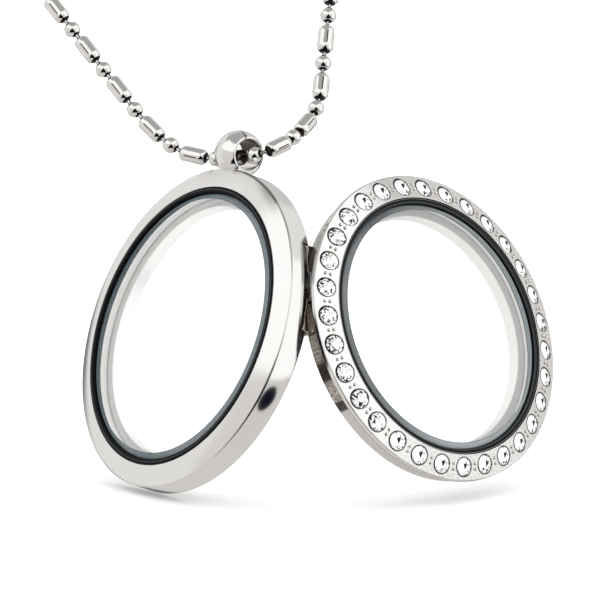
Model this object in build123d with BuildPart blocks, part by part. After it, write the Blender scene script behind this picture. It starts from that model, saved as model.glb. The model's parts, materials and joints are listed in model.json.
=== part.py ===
"""Round glass locket that opens like a book, on a ball and bar chain.

The back half carries the bail that the chain runs through and has a plain domed bezel. The front half
has a bezel that slopes outwards, set with a ring of round crystals. A three-knuckle hinge, let into both rims, joins them.
Each half is a steel ring with a window of glass held in a black gasket. The necklace is held up at the
nape, where its clasp is, and the locket hangs open to its stop.

Millimetres. The origin is the middle of the clasp at the nape: +X to the wearer's left, -Y to the front,
+Z up.
"""

import os
from math import cos, pi, radians, sin, tan

from build123d import *

# How the open locket hangs
HINGE_DIRECTION = Vector(0.035, 0.522, 0.853)
BACK_FACES = Vector(-0.761, -0.539, 0.361)
BAIL_CENTRE = Vector(1.0, -108.7, -180.8)
OPENING = 90.5
SEAM_GAP = 0.1

# Back half: steel ring with a domed bezel
BACK_RADIUS = 15.0
BACK_BEZEL = 1.9
BACK_WINDOW = BACK_RADIUS - BACK_BEZEL
BACK_WALL_HEIGHT = 2.25
BACK_HEIGHT = 2.85
BACK_EDGE_ROUND = 0.12
BEZEL_DOME = 0.06

# Front half: steel ring with a sloping bezel and a lip round it, its wall set in under the back rim
BACK_OVERHANG = 1.2
FRONT_WALL_RADIUS = BACK_RADIUS - BACK_OVERHANG
FRONT_LIP = 0.5
FRONT_LIP_HEIGHT = 0.45
FRONT_LIP_ROUND = 0.1
FRONT_BEZEL = 2.25
FRONT_SLOPE = 16.0
FRONT_WINDOW = FRONT_WALL_RADIUS + FRONT_LIP - FRONT_BEZEL
FRONT_HEIGHT = 2.45

# Window: gasket in a pocket, glass in the gasket, both on a ledge
LEDGE_WIDTH = 1.35
LEDGE_HEIGHT = 1.3
GASKET_WALL = 0.53
GASKET_ROUND = 0.16
GASKET_STANDS_PROUD_BACK = 0.08
GASKET_STANDS_PROUD_FRONT = 0.25
GLASS_SETBACK = 0.06
GLASS_BEVEL = 0.55
GLASS_BEVEL_DEPTH = 0.3
FIT_GAP = 0.03

# Crystals in the front bezel
CRYSTAL_COUNT = 31
CRYSTAL_DIAMETER = 1.68
CRYSTAL_PHASE = 0.9
CRYSTAL_TABLE = 0.56
CRYSTAL_CROWN = 0.2
CRYSTAL_GIRDLE = 0.08
CRYSTAL_PAVILION = 0.5
CRYSTAL_CULET = 0.12
CRYSTAL_GIRDLE_DEPTH = 0.1
SEAT_GAP = 0.05
SEAT_DEPTH = 0.3
SEAT_CONE = 30.0

# Hinge: three knuckles on a pin, the middle one on the back half
KNUCKLE_RADIUS = 0.7
KNUCKLE_LENGTH = 2.7
KNUCKLE_GAP = 0.07
KNUCKLE_SWING_GAP = 0.1
KNUCKLE_NOTCH = 0.4
WALL_TO_HINGE = 0.05
LEAF_WIDTH = 0.95
PIN_RADIUS = 0.35
PIN_GAP = 0.05
PIN_HEAD_ROUND = 0.12

# Bail: a barrel soldered to the back rim
BAIL_ANGLE = 70.0
BAIL_HOLE_RADIUS = 1.4
BAIL_WALL = 0.8
BAIL_WIDTH = 3.0
BAIL_BARREL = 0.55
BAIL_ROUND = 0.1
BAIL_ABOVE_RIM = 1.6

# Chain and clasp
CHAIN_DIAMETER = 1.5
ARC_SHARE = 0.45
CLASP_LENGTH = 10.0
CLASP_RADIUS = 1.7
CLASP_TAPER = 0.7
CLASP_TAPER_LENGTH = 1.6
CLASP_GAP = 0.35

# Chosen points of the chain's route, from the clasp's left end down through the bail and up again
CHAIN_POINTS = [
    (-CLASP_LENGTH / 2 - CLASP_GAP, 0, 0),
    (-19.0, -1.7, -4.8),
    (-38.0, -9.3, -21.2),
    (-52.0, -23.0, -48.0),
    (-55.0, -40.8, -79.3),
    (-49.0, -59.8, -111.1),
    (-37.0, -78.1, -138.6),
    (-22.5, -92.3, -160.3),
    (-11.3, -100.2, -173.5),
    (-5.3, -104.4, -180.0),
    (-1.0, -106.5, -181.3),
    (2.3, -110.8, -180.4),
    (4.4, -110.3, -179.7),
    (5.9, -107.2, -178.6),
    (7.9, -103.7, -176.7),
    (8.5, -100.6, -172.9),
    (9.7, -95.3, -164.7),
    (13.5, -85.1, -148.3),
    (25.0, -68.4, -123.4),
    (40.0, -52.1, -98.2),
    (50.0, -34.6, -69.1),
    (50.0, -18.8, -40.0),
    (38.0, -7.7, -17.6),
    (20.0, -1.5, -4.3),
    (CLASP_LENGTH / 2 + CLASP_GAP, 0, 0),
]

# Places worked out from the sizes above
hinge_radius = FRONT_WALL_RADIUS + WALL_TO_HINGE
front_lip_radius = FRONT_WALL_RADIUS + FRONT_LIP
seat_radius = CRYSTAL_DIAMETER / 2 + SEAT_GAP
crystal_depth = CRYSTAL_GIRDLE_DEPTH + CRYSTAL_GIRDLE + CRYSTAL_PAVILION
crystal_circle = (FRONT_WINDOW + front_lip_radius - FRONT_LIP_ROUND) / 2
bezel_fall = tan(radians(FRONT_SLOPE))
bezel_inner_height = FRONT_HEIGHT + (crystal_circle - FRONT_WINDOW) * bezel_fall
bezel_outer_height = FRONT_HEIGHT - (front_lip_radius - crystal_circle) * bezel_fall
bail_outer_radius = BAIL_HOLE_RADIUS + BAIL_WALL
bail_radius = BACK_RADIUS + BAIL_ABOVE_RIM
bail_height = BACK_HEIGHT / 2
knuckle_pitch = KNUCKLE_LENGTH + KNUCKLE_GAP
slot_radius = KNUCKLE_RADIUS + KNUCKLE_SWING_GAP
hinge_reach = knuckle_pitch + KNUCKLE_LENGTH / 2
seam = SEAM_GAP / 2

# The back half's frame: x from its centre to the hinge, y along the hinge, z out of its window
hinge_dir = HINGE_DIRECTION.normalized()
back_x = hinge_dir.cross(BACK_FACES).normalized()
back_z = back_x.cross(hinge_dir)
bail_out = back_x * cos(radians(BAIL_ANGLE)) + hinge_dir * sin(radians(BAIL_ANGLE))
bail_axis_dir = bail_out.cross(back_z)
back_centre = BAIL_CENTRE - bail_out * bail_radius - back_z * bail_height
back_plane = Plane(origin=back_centre, x_dir=back_x, z_dir=back_z)

# The front half's frame: x from the hinge to its centre, y along the hinge, z out of its window
hinge_point = back_centre + back_x * hinge_radius
turn_axis = Axis((0, 0, 0), hinge_dir)
front_x = (back_x * -1).rotate(turn_axis, -OPENING)
front_z = (back_z * -1).rotate(turn_axis, -OPENING)
front_plane = Plane(origin=hinge_point + front_x * hinge_radius, x_dir=front_x, z_dir=front_z)

hinge_plane = Plane(origin=hinge_point, x_dir=back_x, z_dir=hinge_dir)
bail_plane = Plane(origin=BAIL_CENTRE, x_dir=bail_axis_dir, z_dir=back_z * -1)


def section_plane(half):
    """The plane through a half's axis that a ring's profile is drawn in: x out from the axis, y its axis."""
    return Plane(origin=half.origin, x_dir=half.x_dir, z_dir=half.x_dir.cross(half.z_dir))


def half_axis(half):
    """The axis that a half's rings turn about."""
    return Axis(half.origin, half.z_dir)


def stone_plane(index):
    """Where a stone sits: z square to the bezel's slope, x across it from the window outwards."""
    angle = radians(180 + CRYSTAL_PHASE + index * 360 / CRYSTAL_COUNT)
    outward = front_x * cos(angle) + front_plane.y_dir * sin(angle)
    centre = front_plane.origin + outward * crystal_circle + front_z * FRONT_HEIGHT
    slope = radians(FRONT_SLOPE)
    across = outward * cos(slope) - front_z * sin(slope)
    return Plane(origin=centre, x_dir=across, z_dir=front_z * cos(slope) + outward * sin(slope))


def knuckle_stretches(half):
    """Where a half's own knuckles lie along the hinge."""
    if half == "back":
        return [0.0]
    return [-knuckle_pitch, knuckle_pitch]


def cut_knuckle_slots(stretches):
    """Cut room for the other half's knuckles out of a rim."""
    for along in stretches:
        with BuildSketch(hinge_plane.offset(along)) as slot:
            Circle(slot_radius)
        extrude(slot.sketch, amount=KNUCKLE_LENGTH / 2 + KNUCKLE_GAP, both=True, mode=Mode.SUBTRACT)


def add_knuckles(stretches, half, inward):
    """Add a half's knuckles and the leaf that roots each one in its rim, and bore them for the pin."""
    leaf_plane = Plane(origin=hinge_point, x_dir=half.z_dir, z_dir=hinge_dir)
    leaf_side = 1 if leaf_plane.y_dir.dot(inward) > 0 else -1
    for along in stretches:
        with BuildSketch(hinge_plane.offset(along)) as knuckle:
            Circle(KNUCKLE_RADIUS)
        extrude(knuckle.sketch, amount=KNUCKLE_LENGTH / 2, both=True)
        with BuildSketch(leaf_plane.offset(along)) as leaf:
            with Locations(((seam + KNUCKLE_RADIUS) / 2, leaf_side * LEAF_WIDTH / 2)):
                Rectangle(KNUCKLE_RADIUS - seam, LEAF_WIDTH)
        extrude(leaf.sketch, amount=KNUCKLE_LENGTH / 2, both=True)
    with BuildSketch(hinge_plane) as bore:
        Circle(PIN_RADIUS + PIN_GAP)
    extrude(bore.sketch, amount=hinge_reach + KNUCKLE_GAP, both=True, mode=Mode.SUBTRACT)


# Back frame: domed ring, bail and middle knuckle, soldered into one piece
with BuildPart() as back_frame:
    with BuildSketch(section_plane(back_plane)):
        with BuildLine():
            inner = BACK_WINDOW - LEDGE_WIDTH
            bezel_outer = (BACK_RADIUS, BACK_WALL_HEIGHT)
            bezel_inner = (BACK_WINDOW, BACK_HEIGHT)
            dome_height = (BACK_WALL_HEIGHT + BACK_HEIGHT) / 2 + BEZEL_DOME
            Polyline((inner, seam), (BACK_RADIUS, seam), bezel_outer)
            ThreePointArc(bezel_outer, ((BACK_RADIUS + BACK_WINDOW) / 2, dome_height), bezel_inner)
            Polyline(bezel_inner, (BACK_WINDOW, LEDGE_HEIGHT), (inner, LEDGE_HEIGHT), (inner, seam))
        make_face()
    revolve(axis=half_axis(back_plane))
    rim_edge = [
        edge
        for edge in back_frame.edges().filter_by(GeomType.CIRCLE)
        if abs(edge.radius - BACK_RADIUS) < FIT_GAP
        and abs((edge.arc_center - back_centre).dot(back_z) - BACK_WALL_HEIGHT) < FIT_GAP
    ]
    fillet(rim_edge, BACK_EDGE_ROUND)
    with BuildSketch(bail_plane) as barrel_section:
        with BuildLine():
            half_width = BAIL_WIDTH / 2
            shoulder = bail_outer_radius - BAIL_BARREL
            Line((-half_width, BAIL_HOLE_RADIUS), (half_width, BAIL_HOLE_RADIUS))
            Line((half_width, BAIL_HOLE_RADIUS), (half_width, shoulder))
            ThreePointArc((half_width, shoulder), (0, bail_outer_radius), (-half_width, shoulder))
            Line((-half_width, shoulder), (-half_width, BAIL_HOLE_RADIUS))
        make_face()
        fillet(barrel_section.vertices(), BAIL_ROUND)
    revolve(axis=Axis(BAIL_CENTRE, bail_axis_dir))
    with BuildSketch(Plane(origin=BAIL_CENTRE, z_dir=bail_axis_dir)):
        Circle(BAIL_HOLE_RADIUS)
    extrude(amount=BAIL_WIDTH, both=True, mode=Mode.SUBTRACT)
    cut_knuckle_slots(knuckle_stretches("front"))
    for along in knuckle_stretches("front"):
        with BuildSketch(hinge_plane.offset(along)):
            with Locations((slot_radius, 0)):
                Rectangle(2 * slot_radius, 2 * KNUCKLE_NOTCH)
        extrude(amount=KNUCKLE_LENGTH / 2 + KNUCKLE_GAP, both=True, mode=Mode.SUBTRACT)
    add_knuckles(knuckle_stretches("back"), back_plane, back_x * -1)
back_frame.part.label = "back_frame"

# Front frame: sloping ring with a lip, seats for the crystals and the two outer knuckles
with BuildPart() as front_frame:
    with BuildSketch(section_plane(front_plane)) as lipped_section:
        with BuildLine():
            inner = FRONT_WINDOW - LEDGE_WIDTH
            lip_base = bezel_outer_height - FRONT_LIP_HEIGHT
            Polyline(
                (inner, seam),
                (FRONT_WALL_RADIUS, seam),
                (FRONT_WALL_RADIUS, lip_base),
                (front_lip_radius, lip_base),
                (front_lip_radius, bezel_outer_height),
                (FRONT_WINDOW, bezel_inner_height),
                (FRONT_WINDOW, LEDGE_HEIGHT),
                (inner, LEDGE_HEIGHT),
                close=True,
            )
        make_face()
        fillet(lipped_section.vertices().group_by(Axis.X)[-1].sort_by(Axis.Y)[-1], FRONT_LIP_ROUND)
    revolve(axis=half_axis(front_plane))
    seats = [stone_plane(index) for index in range(CRYSTAL_COUNT)]
    with BuildSketch(*seats):
        Circle(seat_radius)
    extrude(amount=-SEAT_DEPTH, mode=Mode.SUBTRACT)
    with BuildSketch(*[seat.offset(-SEAT_DEPTH) for seat in seats]):
        Circle(seat_radius - SEAT_GAP)
    extrude(amount=SEAT_DEPTH - crystal_depth - SEAT_GAP, taper=SEAT_CONE, mode=Mode.SUBTRACT)
    cut_knuckle_slots(knuckle_stretches("back"))
    add_knuckles(knuckle_stretches("front"), front_plane, front_x)
front_frame.part.label = "front_frame"


def gasket_ring(half, window, top, name):
    """A black ring that lines a half's window, rounded where it stands out of the bezel."""
    with BuildPart() as ring:
        with BuildSketch(section_plane(half)):
            outer = window - FIT_GAP
            base = LEDGE_HEIGHT + FIT_GAP
            with Locations((outer - GASKET_WALL / 2, (top + base) / 2)):
                section = Rectangle(GASKET_WALL, top - base)
            fillet(section.vertices().group_by(Axis.Y)[-1], GASKET_ROUND)
        revolve(axis=half_axis(half))
    ring.part.label = name
    return ring


def window_glass(half, window, top, name):
    """A disc of glass with a bevelled rim, inside a half's gasket."""
    with BuildPart() as disc:
        with BuildSketch(section_plane(half)):
            with BuildLine():
                radius = window - GASKET_WALL - 2 * FIT_GAP
                base = LEDGE_HEIGHT + FIT_GAP
                Polyline(
                    (0, base),
                    (radius, base),
                    (radius, top - GLASS_BEVEL_DEPTH),
                    (radius - GLASS_BEVEL, top),
                    (0, top),
                    close=True,
                )
            make_face()
        revolve(axis=half_axis(half))
    disc.part.label = name
    return disc


back_gasket_top = BACK_HEIGHT + GASKET_STANDS_PROUD_BACK
front_gasket_top = FRONT_HEIGHT + GASKET_STANDS_PROUD_FRONT
back_gasket = gasket_ring(back_plane, BACK_WINDOW, back_gasket_top, "back_gasket")
front_gasket = gasket_ring(front_plane, FRONT_WINDOW, front_gasket_top, "front_gasket")
back_glass = window_glass(back_plane, BACK_WINDOW, back_gasket_top - GLASS_SETBACK, "back_glass")
front_glass = window_glass(front_plane, FRONT_WINDOW, front_gasket_top - GLASS_SETBACK, "front_glass")

# Hinge pin, held in the middle knuckle
with BuildPart() as hinge_pin:
    with BuildSketch(hinge_plane):
        Circle(PIN_RADIUS)
    extrude(amount=hinge_reach, both=True)
    fillet(hinge_pin.edges().filter_by(GeomType.CIRCLE), PIN_HEAD_ROUND)
hinge_pin.part.label = "hinge_pin"

# Clasp: a plain barrel with tapered ends
with BuildPart() as clasp:
    with BuildSketch(Plane.XY):
        with BuildLine():
            barrel = CLASP_LENGTH / 2 - CLASP_TAPER_LENGTH
            Polyline(
                (-CLASP_LENGTH / 2, 0),
                (-CLASP_LENGTH / 2, CLASP_RADIUS - CLASP_TAPER),
                (-barrel, CLASP_RADIUS),
                (barrel, CLASP_RADIUS),
                (CLASP_LENGTH / 2, CLASP_RADIUS - CLASP_TAPER),
                (CLASP_LENGTH / 2, 0),
                close=True,
            )
        make_face()
    revolve(axis=Axis.X)
clasp.part.label = "clasp"


def corner_radius(before, corner, after):
    """The radius of the arc at a corner: as large as the shorter of its two runs allows."""
    arriving = Vector(corner) - Vector(before)
    leaving = Vector(after) - Vector(corner)
    turn = arriving.get_angle(leaving)
    return ARC_SHARE * min(arriving.length, leaving.length) / tan(radians(turn / 2))


# Chain: one tube along its route, straight runs joined by tangent arcs
radii = [corner_radius(*CHAIN_POINTS[i - 1 : i + 2]) for i in range(1, len(CHAIN_POINTS) - 1)]
with BuildPart() as chain:
    with BuildLine() as route:
        FilletPolyline(*CHAIN_POINTS, radius=radii)
    with BuildSketch(Plane(origin=route.wire() @ 0, z_dir=route.wire() % 0)):
        Circle(CHAIN_DIAMETER / 2)
    sweep(path=route.wire())
chain.part.label = "chain"

chain_length = route.wire().length
chain_volume = chain_length * pi * CHAIN_DIAMETER**2 / 4
print("chain radii mm:", [round(radius, 1) for radius in radii])
print("chain length mm:", round(chain_length, 1))
print("chain volume over section times length:", round(chain.part.volume / chain_volume, 4))

# Crystals: each a low round cut with a flat table, a girdle and a short pavilion
crystals = []
for index, seat in enumerate(seats):
    with BuildPart() as crystal:
        with BuildSketch(Plane(origin=seat.origin, x_dir=seat.x_dir, z_dir=seat.x_dir.cross(seat.z_dir))):
            with BuildLine():
                girdle = CRYSTAL_DIAMETER / 2
                Polyline(
                    (0, CRYSTAL_CROWN - CRYSTAL_GIRDLE_DEPTH),
                    (girdle * CRYSTAL_TABLE, CRYSTAL_CROWN - CRYSTAL_GIRDLE_DEPTH),
                    (girdle, -CRYSTAL_GIRDLE_DEPTH),
                    (girdle, -CRYSTAL_GIRDLE_DEPTH - CRYSTAL_GIRDLE),
                    (CRYSTAL_CULET, -crystal_depth),
                    (0, -crystal_depth),
                    close=True,
                )
            make_face()
        revolve(axis=Axis(seat.origin, seat.z_dir))
    crystal.part.label = f"crystal_{index + 1:02d}"
    crystals.append(crystal)

print("hinge point:", hinge_point, "direction:", hinge_dir)
print("bail centre:", BAIL_CENTRE, "hole direction:", bail_axis_dir)
print("back plane:", back_plane.origin, back_x, back_z)
print("front plane:", front_plane.origin, front_x, front_z)

os.makedirs("parts", exist_ok=True)
locket = [back_frame, back_gasket, back_glass, front_frame, front_gasket, front_glass, hinge_pin]
for piece in [chain, clasp, *locket, *crystals]:
    export_step(piece.part, f"parts/{piece.part.label}.step")
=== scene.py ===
"""Looks of a round glass locket that hangs open on its ball and bar chain.

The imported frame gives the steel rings, the hinge and the clasp at their real size. This script strings the
chain's balls and bars, cuts the stones, raises the grains between them, dresses every surface, and sets up
the light tent that polished steel needs to look like steel.

Lengths inside the classes are millimetres in a piece's own axes. Everything that reaches Blender is in
metres in the frame's axes: the origin is the middle of the clasp, -Y is towards the camera and +Z is up.
"""

from __future__ import annotations

import json
import logging
import math
from collections.abc import Callable
from dataclasses import dataclass, field
from enum import Enum

import bpy
import numpy as np
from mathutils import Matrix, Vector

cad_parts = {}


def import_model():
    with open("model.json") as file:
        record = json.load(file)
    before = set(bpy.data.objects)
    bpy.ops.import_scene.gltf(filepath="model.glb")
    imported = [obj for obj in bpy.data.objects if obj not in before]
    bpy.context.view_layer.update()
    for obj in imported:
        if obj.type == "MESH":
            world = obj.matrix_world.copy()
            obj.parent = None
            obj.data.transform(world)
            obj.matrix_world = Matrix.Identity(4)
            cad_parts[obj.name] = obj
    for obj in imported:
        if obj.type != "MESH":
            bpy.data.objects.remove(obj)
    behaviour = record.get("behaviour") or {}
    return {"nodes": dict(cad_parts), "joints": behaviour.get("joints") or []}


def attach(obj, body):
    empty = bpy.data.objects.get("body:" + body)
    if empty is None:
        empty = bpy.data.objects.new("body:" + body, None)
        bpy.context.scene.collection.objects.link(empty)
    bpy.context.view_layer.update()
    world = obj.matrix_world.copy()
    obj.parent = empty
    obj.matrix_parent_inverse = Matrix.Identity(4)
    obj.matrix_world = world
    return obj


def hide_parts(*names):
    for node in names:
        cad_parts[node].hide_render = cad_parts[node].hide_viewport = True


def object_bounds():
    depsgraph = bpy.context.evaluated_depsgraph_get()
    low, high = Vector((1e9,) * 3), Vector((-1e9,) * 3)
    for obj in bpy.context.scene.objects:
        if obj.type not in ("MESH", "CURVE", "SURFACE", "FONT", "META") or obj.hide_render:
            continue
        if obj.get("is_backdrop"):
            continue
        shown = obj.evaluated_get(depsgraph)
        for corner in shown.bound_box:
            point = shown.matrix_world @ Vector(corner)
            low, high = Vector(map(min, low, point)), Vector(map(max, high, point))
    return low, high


MM = 0.001
Number = int | float
Triple = tuple[float, float, float]
Colour = Triple
log = logging.getLogger("locket")


class Body(str, Enum):
    """The bodies that new pieces ride on."""

    CHAIN = "chain"
    FRONT = "front_half"


class Slot(str, Enum):
    """The material slots of new pieces."""

    STEEL = "polished_steel"
    CHAIN = "chain_steel"
    CRYSTAL = "clear_crystal"


class Facet(float, Enum):
    """Tints of a stone's facets, from the brightest to the darkest; they paint the stone's reflections."""

    WHITE = 0.0
    PALE = 0.1
    BACK = 0.2
    SPECKED = 0.3
    GREY = 0.4
    SMOKY = 0.42
    BROWN = 0.46
    BLACK = 1.0


def unit(vectors: np.ndarray) -> np.ndarray:
    """Divides each vector, along the last axis, by its length."""
    return vectors / np.linalg.norm(vectors, axis=-1, keepdims=True)


def points_of(data: bpy.types.Mesh) -> np.ndarray:
    """A mesh's vertices as rows of x, y and z in metres."""
    flat = np.empty(len(data.vertices) * 3)
    data.vertices.foreach_get("co", flat)
    return flat.reshape(-1, 3)


def settle(piece: bpy.types.Object, body: Body, replaced: str = "") -> None:
    """Tells the frame what a new piece belongs to.

    Args:
        piece: The piece.
        body: The body that it rides on.
        replaced: The node that it stands for, if any.
    """
    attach(piece, body.value)
    if replaced:
        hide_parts(replaced)


def rings(radii: Number | np.ndarray, heights: Number | np.ndarray, corners_deg: np.ndarray) -> np.ndarray:
    """Points of rings round the z axis: a corner lies at radius * (cos a, sin a) and at its ring's height.

    Args:
        radii: Each ring's radius.
        heights: Each ring's height.
        corners_deg: The angles of the corners, the same in every ring.

    Returns:
        The points, ring after ring.
    """
    radius, height = np.reshape(radii, (-1, 1)), np.reshape(heights, (-1, 1))
    angle = np.radians(corners_deg)
    corners = [radius * np.cos(angle), radius * np.sin(angle), height + 0 * angle]
    return np.stack(corners, axis=-1).reshape(-1, 3)


def tube_faces(rows: int, columns: int) -> list[list[int]]:
    """Faces of a closed tube: rows of points one after another, each row closing into a ring.

    Args:
        rows: Rings along the tube.
        columns: Points in each ring.

    Returns:
        The sides, each a point, the one beside it and the same two in the next ring; then both ends.
    """
    row, column = np.meshgrid(np.arange(rows - 1), np.arange(columns), indexing="ij")
    start, beside = row * columns, (column + 1) % columns
    corners = [start + column, start + beside, start + columns + beside, start + columns + column]
    ends = [list(range(columns))[::-1], list(range((rows - 1) * columns, rows * columns))]
    return np.stack(corners, axis=-1).reshape(-1, 4).tolist() + ends


@dataclass(frozen=True)
class Surface:
    """Points and faces worked out with numpy, before they become a mesh."""

    points: np.ndarray
    faces: list[list[int]]
    tints: np.ndarray | None = None

    @staticmethod
    def joined(surfaces: list[Surface]) -> Surface:
        """Puts several surfaces into one, each keeping its own points.

        Args:
            surfaces: The surfaces in order, all with tints or all without.

        Returns:
            One surface that holds them all.
        """
        starts = np.cumsum([0] + [len(s.points) for s in surfaces])
        faces = [[i + int(start) for i in face] for s, start in zip(surfaces, starts) for face in s.faces]
        tinted = surfaces[0].tints is not None
        tints = np.concatenate([s.tints for s in surfaces]) if tinted else None
        return Surface(np.concatenate([s.points for s in surfaces]), faces, tints)

    def mesh(self, name: str, material: bpy.types.Material, sharp_deg: float) -> bpy.types.Object:
        """Makes a Blender object at the origin from the surface.

        Tints, one number for each face, become the attribute "tint" that the finishes read.

        Args:
            name: The piece's name.
            material: Its finish.
            sharp_deg: Edges that turn by more than this stay sharp; 0 leaves every face flat.

        Returns:
            The linked object.
        """
        data = bpy.data.meshes.new(name)
        data.from_pydata(self.points.tolist(), [], self.faces)
        data.materials.append(material)
        if self.tints is not None:
            layer = data.attributes.new("tint", "FLOAT", "FACE")
            layer.data.foreach_set("value", self.tints.astype(np.float32))
        data.polygons.foreach_set("use_smooth", np.full(len(self.faces), sharp_deg > 0))
        if sharp_deg > 0:
            data.set_sharp_from_angle(angle=math.radians(sharp_deg))
        data.update()
        made = bpy.data.objects.new(name, data)
        bpy.context.scene.collection.objects.link(made)
        return made


@dataclass(frozen=True)
class Half:
    """Where one half of the locket lies.

    Its centre lies where the two halves meet. x runs between hinge and centre, y along the hinge, z out of
    the window. The hinge's line crosses x at pin_x, in millimetres.
    """

    centre: np.ndarray
    x: np.ndarray
    y: np.ndarray
    z: np.ndarray
    pin_x: float

    @classmethod
    def read(cls, glass: bpy.types.Object, hinge: dict, x_leaves_hinge: bool) -> Half:
        """Finds a half from its disc of glass and the hinge.

        The disc's thinnest direction is square to the half. The step from the hinge to the disc's middle,
        less what lies along the hinge and along the disc's thickness, is the step to the half's centre.

        Args:
            glass: The half's disc of glass.
            hinge: The joint between the halves.
            x_leaves_hinge: Whether x points from the hinge to the centre.

        Returns:
            The half's place.
        """
        points = np.unique(points_of(glass.data).round(7), axis=0)
        middle = points.mean(axis=0)
        thin = np.linalg.svd(points - middle, full_matrices=False)[2][2]
        y = unit(np.array(hinge["axis"], float))
        pin = np.array(hinge["pos_m"], float)
        step = middle - pin
        across = step - (step @ y) * y - (step @ thin) * thin
        x = unit(across if x_leaves_hinge else -across)
        return cls(pin + across, x, y, np.cross(x, y), float(-across @ x) / MM)

    def place(self, local_mm: np.ndarray) -> np.ndarray:
        """Carries points in the half's own axes and millimetres into the frame, in metres."""
        return self.centre + local_mm @ np.stack([self.x, self.y, self.z]) * MM


@dataclass(frozen=True)
class Bezel:
    """The front half's sloping bezel and its circle of stones, in the half's own axes."""

    stones: int = 31
    circle: float = 13.125
    top: float = 2.45
    slope_deg: float = 16.0
    start_deg: float = 180.9

    def height_at(self, radius: Signal | Number) -> Signal | Number:
        """Height of its surface, which falls outwards by the tangent of its slope."""
        return self.top - (radius - self.circle) * math.tan(math.radians(self.slope_deg))


def math_method(operation: str, reflected: bool = False) -> Callable[..., Signal]:
    """Makes a method of Signal that adds one Math node.

    Args:
        operation: The node's operation.
        reflected: Whether the operands change places, so that 1 - mask works.

    Returns:
        The method.
    """

    def method(self: Signal, *others: Signal | Number) -> Signal:
        """Adds the node."""
        operands = (*others, self) if reflected else (self, *others)
        return self.bench.node("ShaderNodeMath", {"operation": operation}, dict(enumerate(operands)))

    return method


@dataclass(frozen=True)
class Signal:
    """A number, vector or colour inside a shader. Arithmetic on it adds Math nodes.

    most() is the larger of two, size() drops the sign and root() is the square root. cosine() takes
    radians, and turn() gives them for the point whose x is the other number and whose y is this one.
    """

    bench: Bench
    socket: bpy.types.NodeSocket

    __add__ = math_method("ADD")
    __radd__ = math_method("ADD", reflected=True)
    __sub__ = math_method("SUBTRACT")
    __rsub__ = math_method("SUBTRACT", reflected=True)
    __mul__ = math_method("MULTIPLY")
    __rmul__ = math_method("MULTIPLY", reflected=True)
    __truediv__ = math_method("DIVIDE")
    __rtruediv__ = math_method("DIVIDE", reflected=True)
    most = math_method("MAXIMUM")
    size = math_method("ABSOLUTE")
    root = math_method("SQRT")
    cosine = math_method("COSINE")
    turn = math_method("ARCTAN2")

    def wrapped(self, period: Number) -> Signal:
        """Folds the number into half a period on each side of zero."""
        return math_method("WRAP")(self, period / 2, -period / 2)

    def rise(self, low: Number, high: Number) -> Signal:
        """Goes smoothly from 0 at low to 1 at high."""
        inputs = {"Value": self, "From Min": low, "From Max": high}
        return self.bench.node("ShaderNodeMapRange", {"interpolation_type": "SMOOTHSTEP"}, inputs)

    def fall(self, low: Number, high: Number) -> Signal:
        """Goes smoothly from 1 at low to 0 at high."""
        return 1 - self.rise(low, high)

    def band(self, low: Number, high: Number, soft: Number) -> Signal:
        """1 between low and high and 0 outside, over edges that are soft wide."""
        return self.rise(low - soft, low) * self.fall(high, high + soft)

    def dot(self, direction: np.ndarray | Colour) -> Signal:
        """How far a vector reaches along a direction."""
        inputs = {0: self, 1: tuple(float(c) for c in direction)}
        return self.bench.node("ShaderNodeVectorMath", {"operation": "DOT_PRODUCT"}, inputs, "Value")

    def less(self, point: np.ndarray) -> Signal:
        """A vector less a fixed point."""
        inputs = {0: self, 1: tuple(float(c) for c in point)}
        return self.bench.node("ShaderNodeVectorMath", {"operation": "SUBTRACT"}, inputs)


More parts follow.
